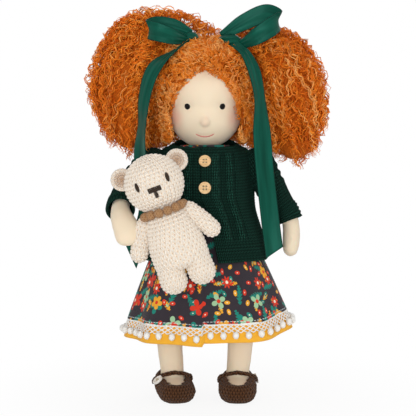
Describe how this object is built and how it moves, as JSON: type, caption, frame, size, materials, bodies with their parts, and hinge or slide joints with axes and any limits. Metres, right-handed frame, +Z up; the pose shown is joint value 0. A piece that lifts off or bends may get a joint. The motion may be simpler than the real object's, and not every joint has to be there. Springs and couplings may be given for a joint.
{
  "type": "cloth doll",
  "caption": "Stuffed cloth doll with curly wool bunches, satin bows, knitted cardigan, fluted skirt and crocheted shoes, holding a small crocheted bear.",
  "frame": {"origin": "on the ground under the middle of the whole figure's bounding box", "axes": "+Z up, -Y the way the doll faces, +X the doll's own left side"},
  "size_m": [0.2306, 0.1616, 0.3886],
  "materials": {
    "skin_cloth": "matte cotton tricot",
    "wool_stuffing": "wound and stuffed wool",
    "black_thread": "embroidery thread",
    "lip_thread": "embroidery thread",
    "curly_hair": "curly mohair yarn",
    "satin_ribbon": "glossy satin ribbon",
    "green_knit": "knitted wool yarn",
    "wooden_button": "waxed pale wood",
    "bodice_cotton": "woven cotton",
    "printed_cotton": "printed woven cotton",
    "mustard_cotton": "woven cotton",
    "white_trim": "cotton lace with small pompoms",
    "cream_crochet": "crocheted cotton yarn",
    "bobble_yarn": "crocheted bobbles",
    "bear_thread": "embroidery thread",
    "brown_crochet": "crocheted yarn",
    "white_button": "pearly white"
  },
  "bodies": {
    "torso": {"torso": "wool_stuffing", "neck": "skin_cloth", "dress_bodice": "bodice_cotton", "cardigan_body": "green_knit", "cardigan_button_upper": "wooden_button", "cardigan_button_lower": "wooden_button", "skirt": "printed_cotton", "underskirt": "mustard_cotton", "lace_trim": "white_trim"},
    "head": {"head": "skin_cloth", "head_wool_core": "wool_stuffing", "eye_left": "black_thread", "eye_right": "black_thread", "mouth": "lip_thread", "ear_left": "skin_cloth", "ear_right": "skin_cloth", "hair_cap": "curly_hair", "hair_bunch_left": "curly_hair", "hair_bunch_right": "curly_hair", "ribbon_bow_left": "satin_ribbon", "ribbon_bow_right": "satin_ribbon", "ribbon_tail_left": "satin_ribbon", "ribbon_tail_right": "satin_ribbon"},
    "arm_left": {"arm_left": "skin_cloth", "sleeve_left": "green_knit"},
    "arm_right": {"arm_right": "skin_cloth", "sleeve_right": "green_knit"},
    "bear": {"bear_head": "cream_crochet", "bear_ear_left": "cream_crochet", "bear_ear_right": "cream_crochet", "bear_eye_left": "bear_thread", "bear_eye_right": "bear_thread", "bear_nose": "bear_thread", "bear_collar": "bobble_yarn", "bear_body": "cream_crochet", "bear_arm_right": "cream_crochet", "bear_leg_left": "cream_crochet", "bear_leg_right": "cream_crochet"},
    "bear_arm_left": {"bear_arm_left": "cream_crochet"},
    "leg_left": {"leg_left": "skin_cloth", "shoe_left": "brown_crochet", "shoe_strap_left": "brown_crochet", "shoe_button_left": "white_button"},
    "leg_right": {"leg_right": "skin_cloth", "shoe_right": "brown_crochet", "shoe_strap_right": "brown_crochet", "shoe_button_right": "white_button"}
  },
  "joints": [
    {"name": "head_turn", "type": "hinge", "parent": "torso", "child": "head", "pos_m": [-0.00576, 0.01721, 0.252], "axis": [0, 0, 1], "range_deg": [-20, 20], "deforming": ["ribbon_tail_left", "ribbon_tail_right"]},
    {"name": "shoulder_left", "type": "hinge", "parent": "torso", "child": "arm_left", "pos_m": [0.04624, 0.01721, 0.232], "axis": [-0.9659, -0.2588, 0], "range_deg": [-20, 55], "deforming": ["ribbon_tail_left"]},
    {"name": "shoulder_right", "type": "hinge", "parent": "torso", "child": "arm_right", "pos_m": [-0.05776, 0.01721, 0.232], "axis": [-0.9659, 0.2588, 0], "range_deg": [0, 30], "deforming": ["ribbon_tail_right"]},
    {"name": "bear_out_of_arm", "type": "slide", "parent": "arm_right", "child": "bear", "axis": [1, 0, 0], "range_m": [0, 0.08]},
    {"name": "bear_shoulder_left", "type": "hinge", "parent": "bear", "child": "bear_arm_left", "pos_m": [-0.01999, -0.05379, 0.19275], "axis": [0, -1, 0], "range_deg": [0, 60]},
    {"name": "hip_left", "type": "hinge", "parent": "torso", "child": "leg_left", "pos_m": [0.02724, 0.01721, 0.138], "axis": [-1, 0, 0], "range_deg": [-20, 70], "deforming": ["skirt", "underskirt", "lace_trim"]},
    {"name": "hip_right", "type": "hinge", "parent": "torso", "child": "leg_right", "pos_m": [-0.03876, 0.01721, 0.138], "axis": [-1, 0, 0], "range_deg": [-20, 35], "deforming": ["skirt", "underskirt", "lace_trim"]}
  ]
}
